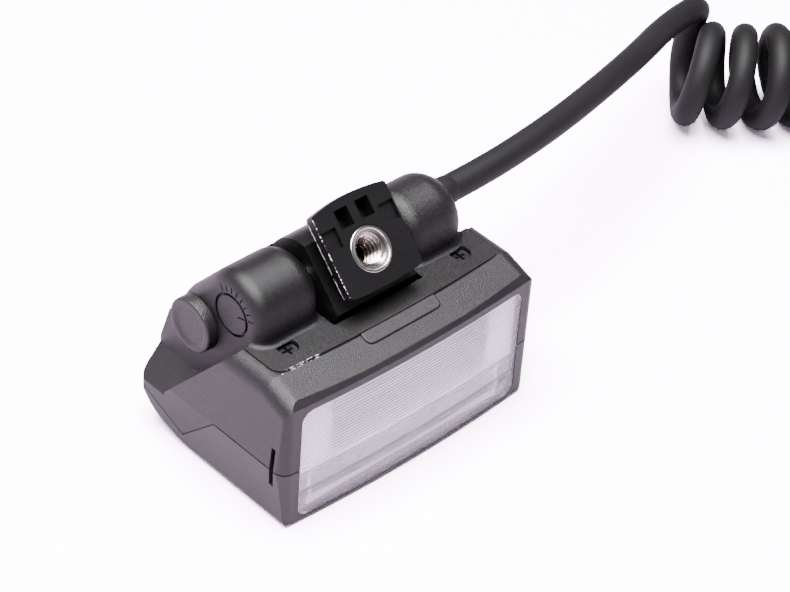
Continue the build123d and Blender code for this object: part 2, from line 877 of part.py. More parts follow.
# Hinge axle with its ratchet wheel, index dial and retaining clip
with BuildPart() as hinge_axle:
    add(hinge_cylinder(axle_radius, -cheek_x + dial_face, trough_half + clip_thickness + 0.6))
hinge_axle.part.label = "hinge_axle"
export_step(hinge_axle.part, "parts/hinge_axle.step")

with BuildPart() as index_dial:
    add(hinge_cylinder(dial_radius, -cheek_x, -cheek_x + dial_thickness))
    add(hinge_axle, mode=Mode.SUBTRACT)
    with BuildSketch(Plane.YZ.offset(-cheek_x - 0.5)):
        mark = tick_first + tick_pitch * (tick_count - 1)
        mark_reach = dial_radius - mark_length / 2
        mark_y = axis_y + mark_reach * cos(radians(mark))
        mark_z = axis_z + mark_reach * sin(radians(mark))
        with Locations(Location((mark_y, mark_z), mark)):
            Rectangle(mark_length, mark_width)
    extrude(amount=0.5 + dial_face / 2, mode=Mode.SUBTRACT)
index_dial.part.label = "index_dial"
export_step(index_dial.part, "parts/index_dial.step")

with BuildPart() as ratchet_wheel:
    with BuildSketch(Plane.YZ.offset(-ratchet_x)):
        with Locations((axis_y, axis_z)):
            Circle(ratchet_radius)
            with PolarLocations(ratchet_radius, ratchet_teeth):
                Rectangle(2 * tooth_depth, tooth_gap, mode=Mode.SUBTRACT)
    extrude(amount=ratchet_thickness)
    add(hinge_axle, mode=Mode.SUBTRACT)
ratchet_wheel.part.label = "ratchet_wheel"
export_step(ratchet_wheel.part, "parts/ratchet_wheel.step")

with BuildPart() as axle_clip:
    add(hinge_cylinder(clip_radius, trough_half + 0.05, trough_half + 0.05 + clip_thickness))
    add(hinge_axle, mode=Mode.SUBTRACT)
axle_clip.part.label = "axle_clip"
export_step(axle_clip.part, "parts/axle_clip.step")

# Spring behind the release button, from the pawl to the guide plate
spring_start = stop_x + pawl_thickness - 0.1
spring_length = -guide_x - spring_start
spring_points = []
spring_tangents = []
for quarter in range(4 * spring_curls + 1):
    turn = quarter * pi / 2
    drift = (spring_length - 2 * spring_wire) * quarter / (4 * spring_curls)
    lead = (spring_length - 2 * spring_wire) / (2 * pi * spring_curls)
    spring_points.append(
        Vector(
            spring_start + spring_wire + drift,
            button_y + spring_radius * cos(turn),
            button_z + spring_radius * sin(turn),
        )
    )
    tangent = Vector(lead, -spring_radius * sin(turn), spring_radius * cos(turn))
    spring_tangents.append(tangent.normalized())
with BuildPart() as button_spring:
    with BuildLine() as spring_path:
        biarc_edges(spring_points, spring_tangents)
    with BuildSketch(Plane(origin=spring_points[0], z_dir=spring_tangents[0])):
        Circle(spring_wire)
    sweep(path=spring_path.line)
button_spring.part.label = "button_spring"
export_step(button_spring.part, "parts/button_spring.step")

# Screws: two in the cover's wells, four from below
for label, places, head, head_height, shank, length in [
    (
        "cover_screws",
        [(-screw_x, screw_y, well_seat, 1), (screw_x, screw_y, well_seat, 1)],
        screw_head_radius,
        screw_head_height,
        screw_shank_radius,
        screw_length,
    ),
    (
        "base_screws",
        [(place[0], place[1], place[3], -1) for place in column_places],
        base_screw_head,
        base_screw_head_height,
        screw_shank_radius,
        base_screw_length,
    ),
]:
    with BuildPart() as screws:
        for place_x, place_y, seat, up in places:
            with BuildSketch(Plane(origin=(place_x, place_y, seat), z_dir=(0, 0, up))):
                Circle(head)
            extrude(amount=head_height)
            with BuildSketch(Plane(origin=(place_x, place_y, seat), z_dir=(0, 0, -up))):
                Circle(shank)
            extrude(amount=length - 0.4)
            with BuildSketch(Plane(origin=(place_x, place_y, seat + up * head_height), z_dir=(0, 0, up))):
                Rectangle(cross_length, cross_width)
                Rectangle(cross_width, cross_length)
            extrude(amount=-cross_depth, taper=18, mode=Mode.SUBTRACT)
    screws.part.label = label
    export_step(screws.part, "parts/" + label + ".step")

# Window: one moulding, smooth outside, with fine ribs inside above the clear strip
bow_radius = (half_width**2 + (front_bow + 0.4) ** 2) / (2 * (front_bow + 0.4))
window_face = front_y - front_bow + window_recess
window_back = window_face + window_thickness
window_top = window_bottom + window_height
rib_count = int((window_top - clear_top - 0.4) / rib_pitch)
with BuildPart() as window_block:
    with BuildSketch(Plane.YZ):
        with BuildLine():
            rib_points = [(window_back, window_bottom - 1), (window_back, clear_ridge - 1.2)]
            rib_points += [(window_back + ridge_depth, clear_ridge), (window_back, clear_ridge + 1.2)]
            rib_points += [(window_back, clear_top)]
            for rib in range(rib_count):
                rib_z = clear_top + rib * rib_pitch
                rib_points += [(window_back - rib_depth, rib_z + 0.02), (window_back, rib_z + rib_pitch)]
            rib_points += [(window_back, window_top + 1), (window_face, window_top + 1)]
            rib_points += [(window_face, window_bottom - 1)]
            Polyline(*rib_points, close=True)
        make_face()
    bow_axis = Axis((0, window_face + bow_radius, 0), (0, 0, 1))
    half_turn = degrees(half_width / bow_radius)
    revolve(axis=bow_axis, revolution_arc=half_turn)
    revolve(window_block.faces().sort_by(Axis.X)[0], axis=bow_axis, revolution_arc=-half_turn)
with BuildPart() as window_lens:
    add(window_block)
    with BuildSketch(Plane.XZ.offset(-front_y - 4)):
        with Locations((0, window_mid_z)):
            RectangleRounded(window_width, window_height, window_corner)
    extrude(amount=10, mode=Mode.INTERSECT)
window_lens.part.label = "window_lens"
export_step(window_lens.part, "parts/window_lens.step")

# Reflector: a trough with end walls and side wings behind the ribbed window
mouth_mid = (reflector_bottom + reflector_top) / 2
mouth_half = (reflector_top - reflector_bottom) / 2
with BuildPart() as reflector:
    with BuildSketch(Plane.YZ.offset(-reflector_half)):
        with BuildLine():
            Polyline(
                (reflector_mouth, reflector_bottom),
                (reflector_back, mouth_mid - reflector_back_half),
                (reflector_back, mouth_mid + reflector_back_half),
                (reflector_mouth, reflector_top),
                close=True,
            )
        make_face()
    extrude(amount=2 * reflector_half)
    with BuildSketch(Plane.XZ.offset(-reflector_mouth)):
        with Locations((0, mouth_mid)):
            Rectangle(2 * wing_half, 2 * mouth_half)
    extrude(amount=-wing_thickness)
    with BuildSketch(Plane.YZ.offset(-reflector_half + reflector_wall)):
        with BuildLine():
            Polyline(
                (reflector_mouth - 1, reflector_bottom - 0.2),
                (reflector_back - reflector_wall, mouth_mid - reflector_back_half + reflector_wall),
                (reflector_back - reflector_wall, mouth_mid + reflector_back_half - reflector_wall),
                (reflector_mouth - 1, reflector_top + 0.2),
                close=True,
            )
        make_face()
    extrude(amount=2 * (reflector_half - reflector_wall), mode=Mode.SUBTRACT)
    with BuildSketch(Plane.YZ.offset(-reflector_half - 1)):
        with Locations((tube_y, tube_z)):
            Circle(tube_radius)
    extrude(amount=2 * reflector_half + 2, mode=Mode.SUBTRACT)
reflector.part.label = "reflector"
export_step(reflector.part, "parts/reflector.step")

# Flash tube with rounded ends, held by a soft boot at each end
with BuildPart() as flash_tube:
    with BuildSketch(Plane.YZ.offset(-tube_half)):
        with Locations((tube_y, tube_z)):
            Circle(tube_radius)
    extrude(amount=2 * tube_half)
    fillet(flash_tube.edges().filter_by(GeomType.CIRCLE), tube_radius / 2)
flash_tube.part.label = "flash_tube"
export_step(flash_tube.part, "parts/flash_tube.step")

with BuildPart() as tube_boots:
    for side in (-1, 1):
        with BuildSketch(Plane.YZ.offset(side * reflector_half)):
            with Locations((tube_y, tube_z)):
                Circle(boot_radius)
        extrude(amount=side * (tube_half + 0.8 - reflector_half))
    add(flash_tube, mode=Mode.SUBTRACT)
tube_boots.part.label = "tube_boots"
export_step(tube_boots.part, "parts/tube_boots.step")

# Circuit board on the two rails, with its parts
board_top = board_bottom + board_thickness
with BuildPart() as circuit_board:
    with BuildSketch(Plane.XY.offset(board_bottom)):
        with Locations((0, (board_front + board_rear) / 2)):
            Rectangle(2 * board_half, board_rear - board_front)
        for side in (-1, 1):
            with Locations((side * rear_column_x, rear_column_y)):
                Circle(column_radius + 0.4, mode=Mode.SUBTRACT)
            with Locations((side * front_column_x, front_column_y)):
                Circle(column_radius + 0.4, mode=Mode.SUBTRACT)
    extrude(amount=board_thickness)
circuit_board.part.label = "circuit_board"
export_step(circuit_board.part, "parts/circuit_board.step")

with BuildPart() as board_parts:
    for part_x, part_y, part_width, part_depth, part_height in board_blocks:
        with BuildSketch(Plane.XY.offset(board_top)):
            with Locations((part_x, part_y)):
                Rectangle(part_width, part_depth)
        extrude(amount=part_height)
    for part_x, part_y, part_radius, part_height in board_cans:
        with BuildSketch(Plane.XY.offset(board_top)):
            with Locations((part_x, part_y)):
                Circle(part_radius)
        extrude(amount=part_height)
board_parts.part.label = "board_parts"
export_step(board_parts.part, "parts/board_parts.step")

with BuildPart() as trigger_coil:
    with BuildSketch(Plane.YZ.offset(coil_x - coil_length / 2)):
        with Locations((coil_y, board_top + coil_radius)):
            Circle(coil_radius)
    extrude(amount=coil_length)
trigger_coil.part.label = "trigger_coil"
export_step(trigger_coil.part, "parts/trigger_coil.step")

# Focus lamps in their tray behind the clear strip
tray_low = wall
with BuildPart() as lamp_tray:
    with BuildSketch(Plane.XY.offset(tray_low)):
        with Locations((0, (tray_front + tray_back) / 2)):
            Rectangle(2 * tray_half, tray_back - tray_front)
    extrude(amount=tray_top - tray_low)
    with BuildSketch(Plane.XY.offset(tray_low + tray_wall)):
        with Locations((0, (tray_front + tray_back) / 2 - tray_wall)):
            Rectangle(2 * (tray_half - tray_wall), tray_back - tray_front)
    extrude(amount=tray_top - tray_low, mode=Mode.SUBTRACT)
lamp_tray.part.label = "lamp_tray"
export_step(lamp_tray.part, "parts/lamp_tray.step")

lamp_z = tray_low + tray_wall + lamp_radius
with BuildPart() as focus_lamps:
    for side in (-1, 1):
        with BuildSketch(Plane.XZ.offset(-(tray_back - tray_wall))):
            with Locations((side * lamp_x, lamp_z)):
                Circle(lamp_radius)
        extrude(amount=lamp_length - lamp_radius)
        with Locations((side * lamp_x, tray_back - tray_wall - lamp_length + lamp_radius, lamp_z)):
            Sphere(lamp_radius)
focus_lamps.part.label = "focus_lamps"
export_step(focus_lamps.part, "parts/focus_lamps.step")

# Cord grommet in the right barrel, and the wires from it down to the board
grommet_inner = end_x - right_end_wall - grommet_flange
grommet_outer = cheek_x + grommet_stand
with BuildPart() as cord_grommet:
    with BuildSketch(Plane.YZ.offset(grommet_inner)):
        with Locations((cord_y, cord_z)):
            Circle(grommet_flange_radius)
    extrude(amount=grommet_flange)
    with BuildSketch(Plane.YZ.offset(grommet_inner)):
        with Locations((cord_y, cord_z)):
            Circle(grommet_radius)
    extrude(amount=grommet_outer - grommet_inner)
    fillet(cord_grommet.edges().sort_by(Axis.X)[-1], 0.4)
    with BuildSketch(Plane.YZ.offset(grommet_inner)):
        with Locations((cord_y, cord_z)):
            Circle(grommet_bore)
    extrude(amount=2.0, mode=Mode.SUBTRACT)
cord_grommet.part.label = "cord_grommet"
export_step(cord_grommet.part, "parts/cord_grommet.step")

with BuildPart() as cord_wires:
    with BuildLine() as wire_path:
        FilletPolyline(
            (grommet_inner + 2.0, cord_y, cord_z),
            (wire_x, cord_y, cord_z),
            (wire_x, cord_y, board_top),
            radius=[3.0],
        )
    with BuildSketch(Plane(origin=(grommet_inner + 2.0, cord_y, cord_z), z_dir=(-1, 0, 0))):
        Circle(wire_radius)
    sweep(path=wire_path.line)
cord_wires.part.label = "cord_wires"
export_step(cord_wires.part, "parts/cord_wires.step")

# Cord lead: hand-placed route from the grommet over the coil's first curl
bend_turn = radians(curl_heading)
curl_start = Vector(curl_start_x, curl_start_y, curl_radius + cord_radius + table_gap)
start_side = Vector(-sin(bend_turn), cos(bend_turn), 0)
curl_entry = curl_start + start_side * curl_radius
lead_end = curl_entry + Vector(0, 0, 1.2 * cord_radius)
lead_points = [
    Vector(grommet_outer, cord_y, cord_z),
    Vector(40.2, cord_y, cord_z),
    Vector(52.3, 5.7, 36.0),
    Vector(66.4, 8.2, 35.0),
    Vector(83.4, 12.8, 33.0),
    Vector(103.1, 19.2, 30.0),
    Vector(118.4, 25.5, 27.0),
    Vector(135.3, 30.0, 24.8),
    lead_end + Vector(0, 0, 1.5),
    lead_end,
]
lead_radii = []
for before, corner, after in zip(lead_points, lead_points[1:], lead_points[2:]):
    come = corner - before
    leave = after - corner
    half_angle = radians(come.get_angle(leave)) / 2
    easy_radius = 0.45 * min(come.length, leave.length) / tan(half_angle)
    lead_radii.append(round(max(easy_radius, 2 * cord_radius), 2))
print("cord lead radii", lead_radii)
with BuildPart() as cord_lead:
    with BuildLine() as lead_path:
        FilletPolyline(*lead_points, radius=lead_radii)
    with BuildSketch(Plane(origin=lead_points[0], z_dir=(1, 0, 0))):
        Circle(cord_radius)
    sweep(path=lead_path.line)
cord_lead.part.label = "cord_lead"
export_step(cord_lead.part, "parts/cord_lead.step")

# Curly cord: a left-hand helix whose axis bends, then runs straight
bend_centre = curl_start + start_side * curl_bend_radius
bend_length = curl_bend_radius * radians(curl_bend)
end_turn = radians(curl_heading + curl_bend)


def curl_axis(along):
    """Place and heading on the coil's axis at a distance from its start."""
    if along < bend_length:
        turn = radians(curl_heading) + along / curl_bend_radius
        place = bend_centre + Vector(sin(turn), -cos(turn), 0) * curl_bend_radius
    else:
        turn = end_turn
        place = bend_centre + Vector(sin(turn), -cos(turn), 0) * curl_bend_radius
        place = place + Vector(cos(turn), sin(turn), 0) * (along - bend_length)
    return place, turn


def curl_point(turns):
    """Centre of the wire after a number of turns from the entry."""
    ease = min(turns, curl_ease)
    along = curl_pitch * (ease * ease / (2 * curl_ease) + turns - ease)
    left = curl_turns - turns
    if left < curl_ease:
        along -= curl_pitch * (curl_ease - left) ** 2 / (2 * curl_ease)
    place, turn = curl_axis(along)
    side = Vector(-sin(turn), cos(turn), 0)
    swing = -2 * pi * turns
    return place + side * (curl_radius * cos(swing)) + Vector(0, 0, curl_radius * sin(swing))


curl_quarters = 4 * curl_count + 1
curl_points = [curl_point(quarter / 4) for quarter in range(curl_quarters + 1)]
curl_tangents = []
for quarter in range(curl_quarters + 1):
    behind = curl_point(max(quarter / 4 - 0.001, 0))
    ahead = curl_point(min(quarter / 4 + 0.001, curl_turns))
    curl_tangents.append((ahead - behind).normalized())
curl_tangents[0] = Vector(0, 0, -1)
curl_tangents[-1] = Vector(sin(end_turn), -cos(end_turn), 0)
curl_exit = curl_points[-1] + curl_tangents[-1] * (2 * cord_radius)
fine_points = [curl_point(step / 24) for step in range(6 * curl_quarters + 1)]
print("curly cord least gap", round(least_gap(fine_points, cord_radius, 12), 2))
with BuildPart() as curly_cord:
    with BuildLine() as curl_path:
        Line(lead_end, curl_entry)
        biarc_edges(curl_points, curl_tangents)
        Line(curl_points[-1], curl_exit)
    with BuildSketch(Plane(origin=lead_end, z_dir=(0, 0, -1))):
        Circle(cord_radius)
    sweep(path=curl_path.line)
curly_cord.part.label = "curly_cord"
export_step(curly_cord.part, "parts/curly_cord.step")

# Cord tail: from the coil's last curl round to the plug, lying on the table
plug_rise = plug_height - curl_exit.Z
tail_points = [
    curl_exit,
    curl_exit + curl_tangents[-1] * 20,
    curl_exit + Vector(-14.5, -34.5, 0),
    curl_exit + Vector(-35.0, -35.5, plug_rise),
    curl_exit + Vector(-51.5, -35.5, plug_rise),
]
tail_radii = []
for before, corner, after in zip(tail_points, tail_points[1:], tail_points[2:]):
    come = corner - before
    leave = after - corner
    half_angle = radians(come.get_angle(leave)) / 2
    tail_radii.append(round(0.45 * min(come.length, leave.length) / tan(half_angle), 2))
print("cord tail radii", tail_radii)
with BuildPart() as cord_tail:
    with BuildLine() as tail_path:
        FilletPolyline(*tail_points, radius=tail_radii)
    with BuildSketch(Plane(origin=curl_exit, z_dir=curl_tangents[-1])):
        Circle(cord_radius)
    sweep(path=tail_path.line)
cord_tail.part.label = "cord_tail"
export_step(cord_tail.part, "parts/cord_tail.step")

# Plug: ribbed boot, knurled-edge shell, insulator and pins, pointing along -X
plug_origin = tail_points[-1]
plug_plane = Plane(origin=plug_origin, x_dir=(-1, 0, 0), z_dir=(0, 1, 0))
plug_axis = Axis(plug_origin, (-1, 0, 0))
shell_end = plug_boot_length + plug_shell_length
mouth_start = shell_end - plug_mouth
with BuildPart() as plug_boot:
    with BuildSketch(plug_plane):
        with BuildLine():
            boot_points = [(0, 0), (0, plug_boot_tip)]
            rib_step = (plug_boot_length - 3) / plug_boot_ribs
            for rib in range(plug_boot_ribs):
                here = 1 + rib * rib_step
                grow = plug_boot_tip + (plug_boot_root - plug_boot_tip) * here / plug_boot_length
                boot_points += [(here, grow), (here, grow - boot_groove)]
                boot_points += [(here + rib_step / 3, grow - boot_groove), (here + rib_step / 3, grow + 0.05)]
            boot_points += [(plug_boot_length, plug_boot_root), (plug_boot_length, 0)]
            Polyline(*boot_points, close=True)
        make_face()
    revolve(axis=plug_axis)
plug_boot.part.label = "plug_boot"
export_step(plug_boot.part, "parts/plug_boot.step")

with BuildPart() as plug_shell:
    with BuildSketch(plug_plane):
        with BuildLine():
            Polyline(
                (plug_boot_length, 0),
                (plug_boot_length, plug_shell_radius - 0.8),
                (plug_boot_length + 0.8, plug_shell_radius),
                (shell_end - 6, plug_shell_radius),
                (shell_end - 6, plug_shell_radius - plug_ring),
                (shell_end, plug_shell_radius - plug_ring),
                (shell_end, plug_shell_radius - plug_shell_wall),
                (plug_boot_length + 2, plug_shell_radius - plug_shell_wall),
                (plug_boot_length + 2, 0),
                close=True,
            )
        make_face()
    revolve(axis=plug_axis)
    grip_radius = plug_shell_radius + 0.1
    for grip in range(plug_grips):
        swing = 2 * pi * grip / plug_grips
        grip_place = (
            plug_origin.X - plug_boot_length - plug_shell_length * 0.36,
            plug_origin.Y + grip_radius * cos(swing),
            plug_origin.Z + grip_radius * sin(swing),
        )
        with Locations(Location(grip_place, (-degrees(swing), 0, 0))):
            Box(8, 0.6, 0.7, mode=Mode.SUBTRACT)
plug_shell.part.label = "plug_shell"
export_step(plug_shell.part, "parts/plug_shell.step")

with BuildPart() as plug_pins:
    with BuildSketch(Plane(origin=plug_origin - Vector(mouth_start - 4, 0, 0), z_dir=(-1, 0, 0))):
        with PolarLocations(pin_circle, pin_count):
            Circle(pin_radius)
    extrude(amount=4 + pin_length)
plug_pins.part.label = "plug_pins"
export_step(plug_pins.part, "parts/plug_pins.step")

with BuildPart() as plug_insulator:
    with BuildSketch(Plane(origin=plug_origin - Vector(plug_boot_length + 2, 0, 0), z_dir=(-1, 0, 0))):
        Circle(plug_shell_radius - plug_shell_wall)
    extrude(amount=mouth_start - plug_boot_length - 2)
    add(plug_pins, mode=Mode.SUBTRACT)
plug_insulator.part.label = "plug_insulator"
export_step(plug_insulator.part, "parts/plug_insulator.step")
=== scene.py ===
# %% [markdown]
# # A macro flash head on its tilting shoe foot
#
# We dress a finished CAD model of a small camera flash. The head is a dark moulded box with a ribbed
# window in front. A tilting foot with a bright threaded insert sits on its hinge, and a curly cord
# leaves the right end of the hinge and ends in a round plug. Everything is measured in metres, in
# the CAD model's own frame, so each new piece goes exactly where the CAD part is.

# %% Open the frame
import math

import bpy
import numpy as np
from mathutils import Matrix, Vector


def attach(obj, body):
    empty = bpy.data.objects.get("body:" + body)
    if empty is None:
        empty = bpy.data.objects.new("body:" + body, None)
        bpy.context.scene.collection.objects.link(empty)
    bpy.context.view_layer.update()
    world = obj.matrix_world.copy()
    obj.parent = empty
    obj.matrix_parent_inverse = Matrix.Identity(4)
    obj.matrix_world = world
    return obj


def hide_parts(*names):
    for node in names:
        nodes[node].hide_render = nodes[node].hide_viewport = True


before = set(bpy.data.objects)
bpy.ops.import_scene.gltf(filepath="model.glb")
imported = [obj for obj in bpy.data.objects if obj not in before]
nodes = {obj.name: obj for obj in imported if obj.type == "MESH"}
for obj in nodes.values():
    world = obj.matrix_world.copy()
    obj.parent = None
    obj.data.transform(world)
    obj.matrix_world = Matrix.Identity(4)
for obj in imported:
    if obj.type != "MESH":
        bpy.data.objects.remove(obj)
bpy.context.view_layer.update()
scene = bpy.context.scene
MM = 0.001
print("CAD nodes:", len(nodes))


# %% [markdown]
# ## The camera
#
# The photograph looks down on the flash from its front left corner with a long lens. A camera is
# only a point, a heading, an elevation and a small roll, so we build its matrix from those numbers.
# This is easier to check than a rotation typed by hand.

# %% Place the camera
def aim_camera(place_mm, azimuth, elevation, roll, lens):
    """Camera axes: forward from azimuth and elevation; right and up turned by the roll."""
    a, e, r = (math.radians(v) for v in (azimuth, elevation, roll))
    forward = Vector((-math.sin(a) * math.cos(e), math.cos(a) * math.cos(e), -math.sin(e)))
    level = Vector((math.cos(a), math.sin(a), 0))
    lift = level.cross(forward)
    right = level * math.cos(r) + lift * math.sin(r)
    up = lift * math.cos(r) - level * math.sin(r)
    data = bpy.data.cameras.new("camera")
    data.sensor_width = 36
    data.lens = lens
    data.clip_start = 0.01
    camera = bpy.data.objects.new("camera", data)
    turn = Matrix((right, up, -forward)).transposed()
    camera.matrix_world = Matrix.Translation(Vector(place_mm) * MM) @ turn.to_4x4()
    scene.collection.objects.link(camera)
    return camera


scene.camera = aim_camera((-292.8, -297.2, 370.6), -45.881, 39.321, 4.443, 128.41)
print("camera at", [round(v, 3) for v in scene.camera.location])


# %% [markdown]
# ## The cord
#
# The real cord is a round rubber cable. It leaves the hinge, sinks a little, then winds into a
# curly stretch like a telephone cord, and ends in a plug. One smooth NURBS curve can do all of it.
# The straight part takes its few points from the CAD route. The curls need more points, and they
# are worked out along a second, short curve that stands for the middle line of the coil.

# %% A helper for smooth lines
def smooth_line(name, points_mm):
    """A NURBS curve through a net of control points: quadratic, and touching both end points."""
    data = bpy.data.curves.new(name, "CURVE")
    data.dimensions = "3D"
    line = data.splines.new("NURBS")
    line.points.add(len(points_mm) - 1)
    flat = np.ones((len(points_mm), 4))
    flat[:, :3] = np.asarray(points_mm) * MM
    line.points.foreach_set("co", flat.ravel())
    line.order_u = 3
    line.use_endpoint_u = True
    line.resolution_u = 6
    piece = bpy.data.objects.new(name, data)
    scene.collection.objects.link(piece)
    return piece


def read_line(piece):
    """The points that Blender draws for a curve, as an array in metres."""
    drawn = bpy.data.meshes.new_from_object(piece)
    points = np.empty(len(drawn.vertices) * 3)
    drawn.vertices.foreach_get("co", points)
    bpy.data.meshes.remove(drawn)
    return points.reshape(-1, 3)


def line_length(points):
    """Sum of the distances between neighbouring points."""
    return float(np.linalg.norm(np.diff(points, axis=0), axis=1).sum())


# %% The middle line of the coil
CORD_RADIUS = 2.9
CORD_EXIT = (27.9, 4.6, 36.2)
COIL_HEIGHT = 12.2
CURL_RADIUS, CURL_PITCH, CURL_TURNS, CURL_EASE = 9.2, 7.9, 12.25, 0.08
CORNERS_PER_TURN = 12
coil_route = [
    (125.7, 25.2, COIL_HEIGHT),
    (134.493, 13.097, COIL_HEIGHT),
    (161.385, -0.019, COIL_HEIGHT),
    (191.287, 1.025, COIL_HEIGHT),
    (221.8, 2.09, COIL_HEIGHT),
]
coil_middle = smooth_line("coil_middle", coil_route)
middle = read_line(coil_middle) / MM
bpy.data.objects.remove(coil_middle)
print("coil middle line", len(middle), "points,", round(line_length(middle), 1), "mm")


# %% Curls along the middle line
def curls(middle, per_turn=CORNERS_PER_TURN):
    """Corners of a net round the helix: C + side R cos(-2 pi t) + up R sin(-2 pi t).

    A quadratic curve touches the middle of each side of its net, so the corners stand half a
    step on, at R / cos(half step), and the curve then runs at R itself.
    """
    steps = int(round(CURL_TURNS * per_turn))
    t = (np.arange(steps) + 0.5) / per_turn
    ease = np.minimum(t, CURL_EASE)
    along = CURL_PITCH * (ease**2 / (2 * CURL_EASE) + t - ease)
    left = np.maximum(CURL_EASE - (CURL_TURNS - t), 0)
    along -= CURL_PITCH * left**2 / (2 * CURL_EASE)
    gaps = np.linalg.norm(np.diff(middle, axis=0), axis=1)
    reach = np.concatenate([[0], np.cumsum(gaps)])
    centre = np.stack([np.interp(along, reach, middle[:, k]) for k in range(3)], axis=1)
    heading = np.stack([np.interp(along + 0.5, reach, middle[:, k]) for k in range(3)], axis=1)
    heading -= np.stack([np.interp(along - 0.5, reach, middle[:, k]) for k in range(3)], axis=1)
    heading /= np.linalg.norm(heading, axis=1)[:, None]
    side = np.stack([-heading[:, 1], heading[:, 0], 0 * t], axis=1)
    swing = -2 * np.pi * t
    net = CURL_RADIUS / math.cos(math.pi / per_turn)
    up = np.array([[0, 0, 1.0]])
    return centre + net * (np.cos(swing)[:, None] * side + np.sin(swing)[:, None] * up)


half_step = CURL_RADIUS * math.tan(math.pi / CORNERS_PER_TURN)
lead = [
    CORD_EXIT,
    (40.2, 4.6, 36.2),
    (52.3, 5.7, 36.0),
    (66.4, 8.2, 35.0),
    (83.4, 12.8, 33.0),
    (103.1, 19.2, 30.0),
    (118.4, 25.5, 27.0),
    (134.9, 28.8, 25.0),
    (133.143, 30.608, 17.18),
    (133.143, 30.608, COIL_HEIGHT + half_step),
]
exit_way = np.array([0.0349, -0.9994, 0.0])
coil_end = np.array([214.014, -3.984, 3.0])
tail = [
    coil_end,
    coil_end + 20.0 * exit_way,
    coil_end + (-14.5, -34.5, 0.0),
    coil_end + (-35.0, -35.5, 4.0),
    (162.514, -39.484, 7.0),
]
cord_net = np.vstack([lead, curls(middle), tail])
print("cord net:", len(cord_net), "points")


# %% [markdown]
# The thickness goes on the points as their radius, with a bevel depth of 1. The cord looks the same
# as with a thick bevel and a radius of 1, but Blender's box round the curve is then its true box.

# %% Make the cord
cord = smooth_line("cord", cord_net)
cord_points = read_line(cord)
points = cord.data.splines[0].points
points.foreach_set("radius", np.full(len(points), CORD_RADIUS * MM))
cord.data.bevel_depth = 1.0
cord.data.bevel_resolution = 6
cord.data.use_fill_caps = True
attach(cord, "head")
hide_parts("cord_lead", "curly_cord", "cord_tail")


# %% [markdown]
# ## Floor and light
#
# The photograph is a studio picture on a white table, so bright that the table is almost pure
# white, with a faint lilac cast and a very soft shadow. A single plane is enough. The picture is
# overexposed there, so the camera sees the table's white multiplied, and its shadow with it. Glossy
# rays see it a little dimmer, as the plastic's sheen shows it, and rays that have gone through the
# window see it brighter, which is why the window looks so white in the photograph.

# %% Shader helpers
def new_material(name):
    """An empty node tree with an output, and a function that adds one node to it."""
    material = bpy.data.materials.new(name)
    material.use_nodes = True
    tree = material.node_tree
    tree.nodes.clear()
    out = tree.nodes.new("ShaderNodeOutputMaterial")
    return material, tree, out


def node(tree, kind, **values):
    """One node; a value goes to the socket of that name, or else to the node itself."""
    made = tree.nodes.new(kind)
    for key, value in values.items():
        label = key.replace("_", " ")
        sockets = [s for s in made.inputs if s.name.lower() == label.lower()]
        if sockets:
            sockets[0].default_value = value
        else:
            setattr(made, key, value)
    return made


# %% The table
def table_finish(shares):
    """Lilac white diffuse whose shade is multiplied by a share for each named kind of ray."""
    material, tree, out = new_material("white_table")
    white = np.array([0.85, 0.73, 0.88])
    matt = node(tree, "ShaderNodeBsdfDiffuse")
    path = node(tree, "ShaderNodeLightPath")
    plain = node(tree, "ShaderNodeRGB")
    plain.outputs[0].default_value = (*white, 1)
    last = plain.outputs[0]
    for ray, share in shares.items():
        pick = node(tree, "ShaderNodeMix", data_type="RGBA")
        pick.inputs["B"].default_value = (*(white * share), 1)
        tree.links.new(path.outputs[ray], pick.inputs["Factor"])
        tree.links.new(last, pick.inputs["A"])
        last = pick.outputs["Result"]
    tree.links.new(last, matt.inputs["Color"])
    tree.links.new(matt.outputs[0], out.inputs["Surface"])
    return material


def flat_mesh(name, corners):
    """One flat face through the corners, facing up."""
    mesh = bpy.data.meshes.new(name)
    mesh.from_pydata([tuple(c) for c in corners], [], [tuple(range(len(corners)))])
    piece = bpy.data.objects.new(name, mesh)
    scene.collection.objects.link(piece)
    return piece


half_table = 3
table_corners = [(x * half_table, y * half_table, 0) for x, y in ((-1, -1), (1, -1), (1, 1), (-1, 1))]
floor = flat_mesh("table_top", table_corners)
floor.location.z = -0.1 * MM
rays = {"Is Glossy Ray": 0.62, "Is Transmission Ray": 3.4, "Is Camera Ray": 3.9}
floor.data.materials.append(table_finish(rays))
print("table laid")


# %% [markdown]
# ## Soft studio lights
#
# A wide soft box hangs over the flash, more to the left than to the right, and gives the soft bright
# bands on the round ends of the barrels. A second one, low on the left, catches the left edges. The
# dark cheeks are bright mostly because they mirror the white table.

# %% Hang the lights
def soft_box(name, place, target, size, watts, tint):
    """An area light of size (width, height) that looks from place at target."""
    data = bpy.data.lights.new(name, "AREA")
    data.shape = "RECTANGLE"
    data.size, data.size_y = size
    data.energy = watts
    data.color = tint
    lamp = bpy.data.objects.new(name, data)
    lamp.location = place
    way = Vector(target) - Vector(place)
    lamp.rotation_euler = way.to_track_quat("-Z", "Y").to_euler()
    scene.collection.objects.link(lamp)
    return lamp


middle_of_head = (0, 0, 0.02)
lilac_white = (1.0, 0.97, 1.0)
soft_box("top_light", (-0.12, 0.0, 0.85), (-0.12, 0, 0), (0.72, 0.6), 40, lilac_white)
soft_box("left_light", (-0.95, 0.25, 0.5), middle_of_head, (0.4, 0.5), 2.5, lilac_white)


